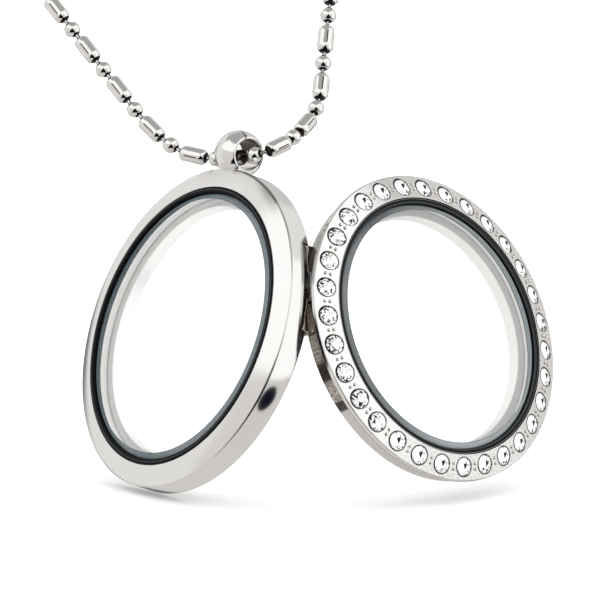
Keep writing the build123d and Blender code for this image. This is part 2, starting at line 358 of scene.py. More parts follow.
class Bench:
    """A node tree being wired."""

    def __init__(self, tree: bpy.types.NodeTree) -> None:
        """Empties the tree and keeps it."""
        self.tree = tree
        tree.nodes.clear()

    def node(self, kind: str, settings: dict, inputs: dict, output: str | int = 0) -> Signal | None:
        """Adds a node: its settings first, then the values and links of its sockets.

        Args:
            kind: The node's type.
            settings: Its settings. "stops" fills a colour ramp with pairs of place and colour.
            inputs: Values or signals by socket name or number.
            output: The output that is wanted.

        Returns:
            That output, or None for a node that has none.
        """
        made = self.tree.nodes.new(kind)
        for key, value in settings.items():
            if key == "stops":
                self._fill(made.color_ramp, value)
            else:
                setattr(made, key, value)
        for key, value in inputs.items():
            if isinstance(value, Signal):
                self.tree.links.new(value.socket, made.inputs[key])
            else:
                made.inputs[key].default_value = value
        return Signal(self, made.outputs[output]) if len(made.outputs) else None

    @staticmethod
    def _fill(ramp: bpy.types.ColorRamp, stops: list[tuple[float, Colour]]) -> None:
        """Sets a ramp's stops from pairs of place and colour."""
        while len(ramp.elements) < len(stops):
            ramp.elements.new(1.0)
        for element, (place, colour) in zip(ramp.elements, stops):
            element.position = place
            element.color = (*colour, 1.0)

    def mix(self, share: Signal | Number, low: Signal | Colour, high: Signal | Colour) -> Signal:
        """Mixes two colours: share 0 gives low and 1 gives high."""
        ends = [colour if isinstance(colour, Signal) else (*colour, 1.0) for colour in (low, high)]
        return self.node("ShaderNodeMix", {"data_type": "RGBA"}, {0: share, 6: ends[0], 7: ends[1]}, 2)

    def layered(self, colour: Signal | Colour, *layers: tuple[Signal, Signal | Colour]) -> Signal:
        """Lays colours over one another.

        Args:
            colour: The lowest colour.
            layers: Pairs of mask and colour, from the bottom up.

        Returns:
            What shows at the top.
        """
        for mask, over in layers:
            colour = self.mix(mask, colour, over)
        return colour

    def ramp(self, value: Signal, stops: list[tuple[float, Colour]]) -> Signal:
        """Colour by a number between 0 and 1, from pairs of place and colour in order."""
        return self.node("ShaderNodeValToRGB", {"stops": stops}, {0: value})

    def spot(self) -> Signal:
        """The shaded point in object coordinates, which are the frame's."""
        return self.node("ShaderNodeTexCoord", {}, {}, "Object")

    def tint(self) -> Signal:
        """The face's own number, from the attribute "tint"."""
        return self.node("ShaderNodeAttribute", {"attribute_name": "tint"}, {}, "Fac")

    def noise(self, vector: Signal, scale: float, detail: float = 2.0) -> Signal:
        """Smooth random pattern between 0 and 1.

        Args:
            vector: Where it is read.
            scale: Waves in each unit of the vector.
            detail: Finer layers.

        Returns:
            The pattern.
        """
        return self.node("ShaderNodeTexNoise", {}, {"Vector": vector, "Scale": scale, "Detail": detail})

    def vector(self, x: Signal | Number, y: Signal | Number, z: Signal | Number) -> Signal:
        """Three numbers as a vector."""
        return self.node("ShaderNodeCombineXYZ", {}, {0: x, 1: y, 2: z})

    def rounded(self, radius_mm: float) -> Signal:
        """The normal turned as if each edge had been polished round."""
        return self.node("ShaderNodeBevel", {"samples": 6}, {"Radius": radius_mm * MM})

    def bump(self, height: Signal, depth_mm: float, normal: Signal | None = None) -> Signal:
        """The normal tilted by a height pattern.

        Args:
            height: The pattern.
            depth_mm: How deep its full range is.
            normal: The normal to start from, if not the surface's own.

        Returns:
            The tilted normal.
        """
        start = {} if normal is None else {"Normal": normal}
        return self.node("ShaderNodeBump", {}, {"Height": height, "Distance": depth_mm * MM, **start})


@dataclass(frozen=True)
class RingPlace:
    """A shaded point in a half's own measures, in millimetres and radians."""

    radius: Signal
    height: Signal
    angle: Signal
    x: Signal
    y: Signal

    @classmethod
    def on(cls, bench: Bench, half: Half) -> RingPlace:
        """Works out a point's place in a half.

        The step from the centre, measured along x and y, gives the radius by Pythagoras and the angle by
        the arc tangent. Measured along z it gives the height.

        Args:
            bench: The material's nodes.
            half: The half.

        Returns:
            The place.
        """
        step = bench.spot().less(half.centre)
        x, y = step.dot(half.x / MM), step.dot(half.y / MM)
        return cls((x * x + y * y).root(), step.dot(half.z / MM), y.turn(x), x, y)

    def along(self, stretch: Triple) -> Signal:
        """Mask of a stretch round the half: from and to in degrees, over ends that are soft in radians."""
        return self.angle.band(math.radians(stretch[0]), math.radians(stretch[1]), stretch[2])


@dataclass(frozen=True)
class Finish:
    """A surface finish. A kind of finish says in dress() what varies over the surface."""

    name: str
    base: Colour = (0.9, 0.9, 0.9)
    roughness: float = 0.1
    metallic: float = 0.0
    fixed: dict = field(default_factory=dict)

    def dress(self, bench: Bench) -> dict:
        """The shader's sockets that vary; none on a plain finish."""
        return {}

    def material(self) -> bpy.types.Material:
        """Makes the material, with one Principled shader."""
        made = bpy.data.materials.new(self.name)
        made.use_nodes = True
        made.diffuse_color = (*self.base, 1.0)
        bench = Bench(made.node_tree)
        inputs = {"Base Color": (*self.base, 1.0), "Roughness": self.roughness, "Metallic": self.metallic}
        shader = bench.node("ShaderNodeBsdfPrincipled", {}, inputs | self.fixed | self.dress(bench))
        bench.node("ShaderNodeOutputMaterial", {}, {"Surface": shader})
        return made


@dataclass(frozen=True)
class HalfSteel(Finish):
    """Turned and polished steel of a half: satin in the bore, with painted shade in creases and on knuckles.
    """

    half: Half | None = None
    bore: float = 11.75
    bored_to: float = 12.85
    bore_metallic: float = 0.25
    ledge: float = 1.3
    knuckle_radius: float = 0.86
    knuckle_reach: float = 4.2
    polish_radius: float = 0.15
    mark_scale: float = 14.0
    mark_share: float = 0.4
    mark_depth: float = 0.0010
    inside: Colour = (0.95, 0.945, 0.93)
    # Real wear where the back half is clouded; painted shade on the front bezel away from its bright side.
    wear_and_shade: Colour = (0.82, 0.81, 0.80)
    # Painted shade and painted reflection: the dark colour laid in creases and along dark lines.
    painted_shade: Colour = (0.10, 0.09, 0.085)
    # Painted shade and painted reflection: the dark colour laid over the knuckles.
    knuckle_shade: Colour = (0.03, 0.026, 0.022)

    def dress(self, bench: Bench) -> dict:
        """Turning marks follow the radius and height; the bore is satin, and painted shade darkens the
        knuckles.

        The creases made dark with painted shade are the bore's edge where the halves meet and the corner of
        the ledge inside it.

        Args:
            bench: The material's nodes.

        Returns:
            Colour, roughness, metallic and normal.
        """
        place = RingPlace.on(bench, self.half)
        turned = bench.vector(place.radius, place.height, place.angle * 0.15)
        marks = bench.noise(turned, self.mark_scale, 3.0)
        inside = place.radius.fall(self.bored_to, self.bored_to + 0.1)
        edge = place.height.fall(0.02, 0.08) * place.radius.rise(self.bore - 0.1, self.bore)
        corner = place.height.band(self.ledge - 0.05, self.ledge + 0.02, 0.03) * inside
        # Painted shade: the bore's edge and the ledge's corner are made dark in the colour.
        creases = (edge * 0.75).most(corner * 0.3)
        colour, dull, normal = self.work(bench, place, inside, creases)
        return {
            # Painted shade and painted reflection: the knuckles take their own dark colour.
            "Base Color": bench.mix(self.knuckles(place), colour, self.knuckle_shade),
            "Roughness": self.roughness + inside * 0.12 + dull + marks * 0.05,
            "Metallic": 1 - inside * (1 - self.bore_metallic),
            "Normal": bench.bump(marks * (self.mark_share + inside), self.mark_depth, normal),
        }

    def knuckles(self, place: RingPlace) -> Signal:
        """Mask of the knuckles, by their distance from the hinge's line and from its middle.

        Args:
            place: The shaded point's place in the half.

        Returns:
            1 on a knuckle.
        """
        across = place.x - self.half.pin_x
        apart = (across * across + place.height * place.height).root()
        along = place.y.size().fall(self.knuckle_reach, self.knuckle_reach + 0.2)
        return apart.fall(self.knuckle_radius, self.knuckle_radius + 0.1) * along

    def work(self, bench: Bench, place: RingPlace, inside: Signal, creases: Signal) -> tuple[Signal, ...]:
        """What is a half's own. Each kind of half has its own version.

        Args:
            bench: The material's nodes.
            place: The shaded point's place in the half.
            inside: Mask of the bore.
            creases: How dark the creases are.

        Returns:
            Colour, added roughness, and the normal that the turning marks start from.
        """
        raise NotImplementedError


@dataclass(frozen=True)
class BackSteel(HalfSteel):
    """The back half's steel: domed bezel, plain wall, and the bail, whose joint says where its hole is."""

    bail: dict = field(default_factory=dict)
    bail_hole: float = 1.4
    bail_foot: float = 2.25
    rim: float = 15.0
    window: float = 13.1
    crease: float = 2.25
    # Painted reflection: where the dark crease line and the broken rim line run round the half.
    creased: Triple = (-62.0, 58.0, 0.25)
    broken: Triple = (35.0, 72.0, 0.05)
    calm: Triple = (56.0, 92.0, 0.08)
    crown_height: float = 1.5
    crown_depth: float = 0.05
    crown_from: float = -9.5
    crown_to: float = -6.0
    # Painted shade: the colour inside the bail's eye.
    eye_shade: Colour = (0.085, 0.07, 0.055)

    def work(self, bench: Bench, place: RingPlace, inside: Signal, creases: Signal) -> tuple[Signal, ...]:
        """Clouded steel with dark lines of painted reflection on its rim, painted shade in the bail's eye
        and at its foot, and a wall polished slightly round.

        One line is the crease between dome and wall, and the other lies broken on the rim beside the bail.
        The wall's crown falls away with the square of the height from its middle.

        Args:
            bench: The material's nodes.
            place: The shaded point's place in the half.
            inside: Mask of the bore.
            creases: How dark the creases are.

        Returns:
            Colour, added roughness, and the normal that the turning marks start from.
        """
        cloud = bench.noise(bench.spot(), 260.0)
        eye, foot = self.bail_shades(bench)
        calm = place.along(self.calm) * place.radius.band(self.window, self.rim - 0.3, 0.1)
        # Painted reflection: dark lines along the crease and, broken, on the rim beside the bail.
        crease = place.height.band(self.crease - 0.02, self.crease + 0.03, 0.04) * place.along(self.creased)
        crease = crease * place.radius.band(self.rim - 0.12, self.rim + 0.05, 0.03)
        broken = place.height.band(self.crease - 0.12, self.crease + 0.06, 0.04) * place.along(self.broken)
        lines = (crease * 0.25).most(broken * cloud.rise(0.44, 0.5) * 0.7)
        colour = bench.layered(
            self.base,
            (cloud * 0.35, self.wear_and_shade),
            (inside, self.inside),
            # Painted shade in the creases and at the bail's foot, and painted reflection on the rim lines.
            (creases.most(lines).most(foot * 0.7), self.painted_shade),
            # Painted shade inside the bail's eye.
            (eye, self.eye_shade),
        )
        off = place.height - self.crown_height
        on_wall = place.radius.rise(self.rim - 0.12, self.rim - 0.02)
        crown = 1 - off * off * on_wall * place.y.fall(self.crown_from, self.crown_to)
        normal = bench.bump(crown, self.crown_depth, bench.rounded(self.polish_radius))
        return colour, (eye * 0.15).most(calm * 0.3), normal

    def bail_shades(self, bench: Bench) -> tuple[Signal, Signal]:
        """Masks of the painted shade in the bail's eye and at its foot.

        Both go by the distance from the line through the bail's hole, squared: the step from the bail's
        middle squared, less the part along that line squared.

        Args:
            bench: The material's nodes.

        Returns:
            1 inside the upper part of the hole's wall, and 1 where the barrel meets the rim beside it.
        """
        step = bench.spot().less(np.array(self.bail["pos_m"]))
        x, y, z = (step.dot(axis / MM) for axis in np.eye(3))
        through = step.dot(unit(np.array(self.bail["axis"])) / MM)
        apart = x * x + y * y + z * z - through * through
        eye = apart.fall(self.bail_hole**2, (self.bail_hole + 0.06) ** 2) * z.rise(-1.0, -0.6)
        foot = apart.fall(self.bail_foot**2, (self.bail_foot + 0.1) ** 2) * z.fall(-1.6, -1.3)
        return eye, foot * y.fall(-0.4, -0.2) * x.band(-0.5, 0.6, 0.15)


@dataclass(frozen=True)
class FrontSteel(HalfSteel):
    """The front half's steel: sloping bezel with a circle of seats, undercut lip, wall with a painted
    reflection.
    """

    bore: float = 10.65
    bored_to: float = 11.85
    polish_radius: float = 0.1
    mark_scale: float = 16.0
    mark_share: float = 0.5
    mark_depth: float = 0.0014
    bezel: Bezel = Bezel()
    wall: float = 13.8
    lip_foot: float = 1.663
    seat_radius: float = 0.89
    seat_lean: float = 0.09
    shade_from_deg: float = 195.0
    lit_side_deg: float = 190.0
    lip_shade: Triple = (-178.0, -125.0, 0.3)
    # Painted reflection: the brown patch and two dark bands on the wall below the hinge.
    reflection_to_deg: float = -134.0
    reflection_bands: tuple[Triple, Triple] = ((-150.0, -145.0, 0.04), (-135.0, -132.0, 0.02))
    inside: Colour = (0.84, 0.83, 0.81)
    # Painted light: the ledge is paler than the bore, against the shade of its narrow groove.
    lightened_shelf: Colour = (0.94, 0.93, 0.91)
    scuff: Colour = (0.50, 0.485, 0.47)
    # Painted shadow: the colour of the rings round the seats.
    brown: Colour = (0.30, 0.25, 0.21)
    plain: Colour = (0.80, 0.785, 0.765)
    reflected_brown: Colour = (0.34, 0.30, 0.26)
    reflected_pale: Colour = (0.72, 0.69, 0.65)
    painted_shade: Colour = (0.012, 0.011, 0.01)
    # Painted reflection: the front half's knuckles are brown-grey.
    knuckle_shade: Colour = (0.27, 0.235, 0.20)

    def work(self, bench: Bench, place: RingPlace, inside: Signal, creases: Signal) -> tuple[Signal, ...]:
        """A scuffed bezel with rings of painted shadow round its seats, greyer with painted shade away from
        its bright side, and a wall in the shadow of its lip.

        Below the hinge the shadow is deeper, the wall is painted brown as a reflection, and two dark bands
        of painted reflection cross it.

        Args:
            bench: The material's nodes.
            place: The shaded point's place in the half.
            inside: Mask of the bore.
            creases: How dark the creases are.

        Returns:
            Colour, added roughness, and the normal that the turning marks start from.
        """
        scuffs = bench.noise(bench.vector(place.radius * 2.6, place.angle * 22.0, place.height), 2.6, 4.0)
        # Painted shade: away from its bright side the bezel turns greyer and more scuffed.
        away = (place.angle - math.radians(self.lit_side_deg)).cosine().fall(0.1, 0.8)
        outside = place.radius.rise(self.wall - 0.3, self.wall - 0.2)
        wall = place.height.fall(self.lip_foot - 0.02, self.lip_foot + 0.04) * outside
        ring, side = self.seat_rings(place)
        line = place.height.band(self.lip_foot - 0.08, self.lip_foot + 0.02, 0.04)
        deep = place.height.band(self.lip_foot - 0.3, self.lip_foot + 0.02, 0.03)
        shadow = line.most(deep * place.along(self.lip_shade)) * outside
        # Painted reflection: two dark bands across the wall below the hinge.
        first, second = (place.along(reflection_band) for reflection_band in self.reflection_bands)
        dark = creases.most(ring * side.rise(-0.3, 0.3)).most(shadow * 0.8)
        dark = dark.most(first.most(second) * wall * 0.85)
        # Painted reflection: below the hinge the wall is brown, in mottled tones.
        patch = place.angle.fall(math.radians(self.reflection_to_deg), math.radians(self.reflection_to_deg + 3))
        reflected_wall = bench.mix(scuffs.rise(0.35, 0.65), self.reflected_brown, self.reflected_pale)
        colour = bench.layered(
            self.base,
            (away, self.wear_and_shade),
            (scuffs.rise(0.4, 0.7) * (0.1 + away * 0.4), self.scuff),
            (wall, bench.mix(patch, self.plain, reflected_wall)),
            (inside, self.inside),
            # Painted light: the ledge and the bore above it are made paler than the rest of the bore.
            (inside * place.height.rise(self.ledge - 0.06, self.ledge - 0.02), self.lightened_shelf),
            # Painted shadow: a brown ring round each seat, black on its shaded side.
            (ring * (0.8 - away * 0.45), self.brown),
            (dark, self.painted_shade),
        )
        return colour, wall * 0.10 + away * 0.12, bench.rounded(self.polish_radius)

    def seat_rings(self, place: RingPlace) -> tuple[Signal, Signal]:
        """Mask of a ring of painted shadow round each seat, and how far a point lies towards its seat's
        shaded side.

        The distance to the nearest seat comes, by Pythagoras, from the angle folded into one seat's share
        of the circle, as an arc on the seat circle, and from the radius less the circle's, down the slope.

        Args:
            place: The shaded point's place in the half.

        Returns:
            1 on the rings, and the step towards the shaded side in millimetres.
        """
        bezel = self.bezel
        folded = (place.angle - math.radians(bezel.start_deg)).wrapped(math.tau / bezel.stones)
        lean = place.angle - math.radians(self.shade_from_deg)
        arc = folded * bezel.circle
        out = (place.radius - bezel.circle) * (1 / math.cos(math.radians(bezel.slope_deg)))
        side = out * lean.cosine() - arc * (lean - math.pi / 2).cosine()
        seat = (arc * arc + out * out).root() - side * self.seat_lean
        on_top = (place.height - bezel.height_at(place.radius)).rise(-0.6, -0.5)
        return seat.fall(self.seat_radius + 0.02, self.seat_radius + 0.07) * on_top, side


@dataclass(frozen=True)
class ChainSteel(Finish):
    """Steel of the balls, bars and wire; each face may be darker by its tint, which paints shade and
    reflections.
    """

    # Painted shade: the black of tint 1.
    dark: Colour = (0.035, 0.03, 0.028)
    warm: Colour = (0.55, 0.51, 0.47)

    def dress(self, bench: Bench) -> dict:
        """Tint 0 is bright, a half is warm grey and 1 is the black of painted shade.

        Args:
            bench: The material's nodes.

        Returns:
            Colour and roughness.
        """
        colour = bench.ramp(bench.tint(), [(0.0, self.base), (0.5, self.warm), (1.0, self.dark)])
        return {"Base Color": colour, "Roughness": self.roughness + bench.noise(bench.spot(), 900.0) * 0.06}


@dataclass(frozen=True)
class TumbledSteel(Finish):
    """Small steel parts polished in a drum: finely pitted, with duller clouds."""

    dull: Colour = (0.66, 0.645, 0.63)
    pit_depth: float = 0.003

    def dress(self, bench: Bench) -> dict:
        """Clouds make the steel duller and rougher, and a fine noise pits it.

        Args:
            bench: The material's nodes.

        Returns:
            Colour, roughness and normal.
        """
        cloud = bench.noise(bench.spot(), 420.0, 3.0).rise(0.35, 0.7)
        return {
            "Base Color": bench.mix(cloud * 0.6, self.base, self.dull),
            "Roughness": self.roughness + cloud * 0.12,
            "Normal": bench.bump(bench.noise(bench.spot(), 4200.0), self.pit_depth),
        }


@dataclass(frozen=True)
class Rubber(Finish):
    """The black gasket, with painted highlight lines that run round its face."""

    half: Half | None = None
    inner: float = 12.54
    width: float = 0.53
    lines: tuple[tuple[float, Colour], ...] = ()
    grain_depth: float = 0.004

    def dress(self, bench: Bench) -> dict:
        """Colour by the radius as a share of the gasket's width, and a fine grain.

        Args:
            bench: The material's nodes.

        Returns:
            Colour, roughness and normal.
        """
        share = (RingPlace.on(bench, self.half).radius - self.inner) / self.width
        grain = bench.noise(bench.spot(), 6000.0)
        return {
            "Base Color": bench.ramp(share, list(self.lines)),
            "Roughness": self.roughness + grain * 0.1,
            "Normal": bench.bump(grain, self.grain_depth),
        }


@dataclass(frozen=True)
class WindowGlass(Finish):
    """Clear glass with a ground grey bevel; its edge wall lights up like brushed silver."""

    half: Half | None = None
    face: float = 11.96
    edge: float = 12.51
    foot: float = 1.33
    bevel_foot: float = 2.57
    band_foot: float = 2.12
    clear: float = 0.03
    ground: float = 0.95
    bevel: Colour = (0.075, 0.105, 0.118)
    lit: Colour = (0.075, 0.105, 0.118)
    haze: Colour = (0.5, 0.52, 0.54)
    line: Colour = (0.02, 0.022, 0.025)
    wall: Colour = (0.84, 0.83, 0.81)
    streak: Colour = (0.714, 0.7055, 0.6885)
    shade: Colour = (0.34, 0.33, 0.32)

    def dress(self, bench: Bench) -> dict:
        """The bevel is a hazy grey, lighter on one side as painted light, with a dark line at each side.

        From the bottom up the wall is shaded, then pale with faint streaks, and grey above a dark line.

        Args:
            bench: The material's nodes.

        Returns:
            Colour, roughness and alpha.
        """
        place = RingPlace.on(bench, self.half)
        raised = place.height.rise(self.bevel_foot - 0.06, self.bevel_foot - 0.02)
        bevel = place.radius.rise(self.face - 0.02, self.face + 0.02) * raised
        wall = place.radius.rise(self.edge - 0.04, self.edge - 0.02) * (1 - raised)
        line = place.radius.band(self.face - 0.02, self.face + 0.02, 0.05)
        line = line.most(place.radius.rise(self.edge - 0.08, self.edge - 0.03)) * raised
        streaks = bench.noise(bench.vector(place.height * 0.3, place.angle * 3.0, 0.0), 4.0, 3.0)
        # Painted light: the bevel's grey is lighter towards one side of the window.
        slate = bench.mix(place.angle.cosine().rise(-0.7, 0.4), self.bevel, self.lit)
        hazy = bench.mix(bench.noise(bench.spot(), 240.0) * 0.25, slate, self.haze)
        side = bench.layered(
            self.wall,
            (streaks * 0.5, self.streak),
            (place.height.fall(self.foot + 0.02, self.foot + 0.08) * 0.6, self.shade),
            (place.height.rise(self.band_foot, self.band_foot + 0.03), slate),
            (place.height.band(self.band_foot - 0.02, self.band_foot + 0.04, 0.02), self.line),
        )
        return {
            "Base Color": bench.layered(self.base, (bevel, hazy), (line, self.line), (wall, side)),
            "Roughness": self.roughness + bevel * 0.3,
            "Alpha": self.clear + bevel.most(wall) * (self.ground - self.clear),
        }


@dataclass(frozen=True)
class StoneFinish(Finish):
    """A foil-backed stone whose facets are painted white, brown or black as reflections."""

    pale: Colour = (0.80, 0.79, 0.78)
    brown: Colour = (0.20, 0.13, 0.09)
    black: Colour = (0.004, 0.004, 0.004)
    speck: Colour = (0.01, 0.009, 0.008)

    def dress(self, bench: Bench) -> dict:
        """Tint 0 is a white facet, a half brown and 1 black, as painted reflections; about 0.3 has dark
        specks.

        Args:
            bench: The material's nodes.

        Returns:
            Colour.
        """
        tint = bench.tint()
        stops = [(0.0, self.base), (0.35, self.pale), (0.5, self.brown), (1.0, self.black)]
        # Painted reflection: dark specks on the facets whose tint is about 0.3.
        specks = bench.noise(bench.spot(), 5200.0, 1.0).rise(0.51, 0.55) * tint.band(0.25, 0.35, 0.04)
        return {"Base Color": bench.mix(specks, bench.ramp(tint, stops), self.speck)}


@dataclass(frozen=True)
class Route:
    """A line through the frame."""

    points: np.ndarray

    @classmethod
    def spline(cls, control_mm: list[Triple]) -> Route:
        """Points of a NURBS spline, as Blender evaluates a curve with no bevel.

        Args:
            control_mm: Control points in the frame, in millimetres.

        Returns:
            The line.
        """
        data = bpy.data.curves.new("chain_route", "CURVE")
        data.dimensions = "3D"
        line = data.splines.new("NURBS")
        line.points.add(len(control_mm) - 1)
        control = np.array(control_mm) * MM
        line.points.foreach_set("co", np.column_stack([control, np.ones(len(control))]).ravel())
        line.order_u = 3
        line.use_endpoint_u = True
        line.resolution_u = 24
        carrier = bpy.data.objects.new("chain_route", data)
        bpy.context.scene.collection.objects.link(carrier)
        bpy.context.view_layer.update()
        mesh = bpy.data.meshes.new_from_object(carrier)
        points = points_of(mesh)
        bpy.data.objects.remove(carrier)
        bpy.data.meshes.remove(mesh)
        return cls(points)

    def run_mm(self) -> np.ndarray:
        """Length from the start to each point, in millimetres."""
        steps = np.linalg.norm(np.diff(self.points, axis=0), axis=1) / MM
        return np.concatenate([[0.0], np.cumsum(steps)])

    def stations(self, lengths_mm: np.ndarray, reach_mm: float = 0.4) -> tuple[np.ndarray, np.ndarray]:
        """Places at given lengths along the line, and its direction there.

        The direction is the step from a little before the place to a little after it, at unit length.

        Args:
            lengths_mm: Lengths from the start.
            reach_mm: How far before and after.

        Returns:
            Points and unit directions.
        """
        run = self.run_mm()
        before, at, after = (
            np.stack([np.interp(lengths_mm + shift, run, self.points[:, k]) for k in range(3)], axis=1)
            for shift in (-reach_mm, 0.0, reach_mm)
        )
        return at, unit(after - before)


@dataclass(frozen=True)
class Bead:
    """One turned or faceted bead of the chain, along its own axis.

    Row k of the profile is a ring of the given radius at the given place along the axis, with corners at
    the given angles. There is a tint for each side of each step between rings, then one for each end.
    """

    profile: tuple[tuple[float, float], ...]
    corners_deg: np.ndarray
    tints: np.ndarray

    def string(self, centres: np.ndarray, along: np.ndarray) -> Surface:
        """Sets one bead at each centre.

        The direction towards -Y, less what lies along the chain, is the bead's own first direction, and the
        cross product of the chain's direction with it is the second.

        Args:
            centres: Places in the frame, in metres.
            along: The chain's direction at each.

        Returns:
            All the beads as one surface.
        """
        place, radius = np.array(self.profile, float).T
        bead = rings(radius, place, self.corners_deg) * MM
        near = np.array([0.0, -1.0, 0.0])
        first = unit(near - (along @ near)[:, None] * along)
        axes = np.stack([first, np.cross(along, first), along], axis=1)
        points = centres[:, None, :] + np.einsum("pk,nkc->npc", bead, axes)
        faces = tube_faces(len(radius), len(self.corners_deg))
        return Surface.joined([Surface(each, faces, self.tints) for each in points])


@dataclass
class NeckChain:
    """The ball and bar chain. One ball and one bar make a pitch, with bare wire between them."""

    ball: float = 1.5
    ball_sides: int = 12
    ball_rows: int = 9
    ball_end_deg: float = 76.0
    bar_length: float = 2.8
    bar_dome: float = 0.85
    bar_collar: float = 0.1
    seam_deg: float = 9.0
    seam_spread_deg: float = 4.2
    gap: float = 0.37
    wire: float = 0.36
    wire_hidden: float = 0.12
    phase: float = 3.35
    end_room: float = 1.2
    sharp_deg: float = 60.0
    control: tuple[Triple, ...] = (
        (-5.35, 0, 0), (-19, -1.7, -4.8), (-38, -9.3, -21.2), (-52, -23, -48), (-55, -40.8, -79.3),
        (-49, -59.8, -111.1), (-37, -78.1, -138.6), (-22.9, -92.3, -160.3), (-11.6, -100.2, -173.9),
        (-5.7, -104.3, -180.8), (-1, -106.5, -181.6), (2.3, -110.8, -180.7), (4.5, -110.4, -180),
        (6.3, -107.2, -179.2), (8.3, -103.7, -177.1), (8.7, -100.6, -173), (9.7, -95.3, -164.7),
        (13.5, -85.1, -148.3), (25, -68.4, -123.4), (40, -52.1, -98.2), (50, -34.6, -69.1),
        (50, -18.8, -40), (38, -7.7, -17.6), (20, -1.5, -4.3), (5.35, 0, 0),
    )

    def build(self) -> None:
        """Strings balls, bars and wire along the route, and hides the plain tube that they stand for."""
        route = Route.spline(list(self.control))
        total = route.run_mm()[-1]
        pitch = self.ball + self.bar_length + 2 * self.gap
        steel = ChainSteel("chain_bright_steel", (0.90, 0.89, 0.875), 0.03, 1.0).material()
        balls = np.arange(self.phase, total - self.end_room, pitch)
        bars = np.arange(self.phase - pitch / 2, total - self.end_room, pitch)
        last = np.arange(max(balls[-1], bars[-1]), total, self.gap)
        beside = (self.ball + self.gap) / 2
        links = np.concatenate([balls - beside, balls + beside, last])
        links = np.sort(links[(links > 0) & (links < total)])
        strings = {
            "chain_balls": (self.ball_bead(), balls),
            "chain_bars": (self.bar_bead(), bars),
            "chain_wire": (self.wire_bead(), links),
        }
        for name, (bead, lengths) in strings.items():
            piece = bead.string(*route.stations(lengths)).mesh(name, steel, self.sharp_deg)
            settle(piece, Body.CHAIN, "chain")
            log.info("%s: %d beads", name, len(lengths))

    def ball_bead(self) -> Bead:
        """A ball: at latitude b its ring has radius r cos b and lies at r sin b."""
        latitude = np.radians(np.linspace(-self.ball_end_deg, self.ball_end_deg, self.ball_rows))
        radius = self.ball / 2
        profile = tuple(zip(radius * np.sin(latitude), radius * np.cos(latitude)))
        corners = np.arange(self.ball_sides) * 360 / self.ball_sides
        return Bead(profile, corners, self.end_shaded(self.ball_sides, self.ball_rows - 1))

    def bar_bead(self) -> Bead:
        """A rolled bar with domed ends and a black side along it: its sheet's joint and a painted
        reflection.

        Near an end the radius follows a quarter of a circle, and one more ring next to it keeps the middle
        straight. The first two corners stand close together, so that the side between them is the narrow
        joint.
        """
        radius, half = self.ball / 2, self.bar_length / 2
        dome = np.radians([65, 45, 22, 0])
        place = half - self.bar_dome * radius * (1 - np.sin(dome) / math.sin(dome[0]))
        end = [*zip(place, radius * np.cos(dome)), (place[-1] - self.bar_collar, radius)]
        profile = tuple((-place, size) for place, size in end) + tuple(end[::-1])
        beside_seam = (-self.seam_spread_deg, self.seam_spread_deg)
        corners = self.seam_deg + np.array([*beside_seam, *np.linspace(30, 330, 11)])
        steps, sides = len(profile) - 1, len(corners)
        tints = self.end_shaded(sides, steps)
        # Painted reflection: the middle of the narrow side along the joint is black.
        tints[steps // 2 * sides] = 1.0
        return Bead(profile, corners, tints)

    @staticmethod
    def end_shaded(sides: int, steps: int) -> np.ndarray:
        """Tints of a bead whose end rows and ends are black with painted shade, and whose other rows are
        bright.
        """
        rows = np.zeros((steps, sides))
        rows[[0, -1]] = 1.0
        return np.concatenate([rows.ravel(), [1.0, 1.0]])

    def wire_bead(self) -> Bead:
        """The bare wire between two beads, a little longer than the gap, its sides made dark by painted
        reflection.
        """
        half = self.gap / 2 + self.wire_hidden
        profile = ((-half, self.wire / 2), (half, self.wire / 2))
        # Painted reflection: the wire's sides are darker than its front and back.
        tints = np.array([0.0, 0.9, 0.6, 0.9] * 2 + [1.0, 1.0])
        return Bead(profile, np.arange(8) * 45.0 - 22.5, tints)


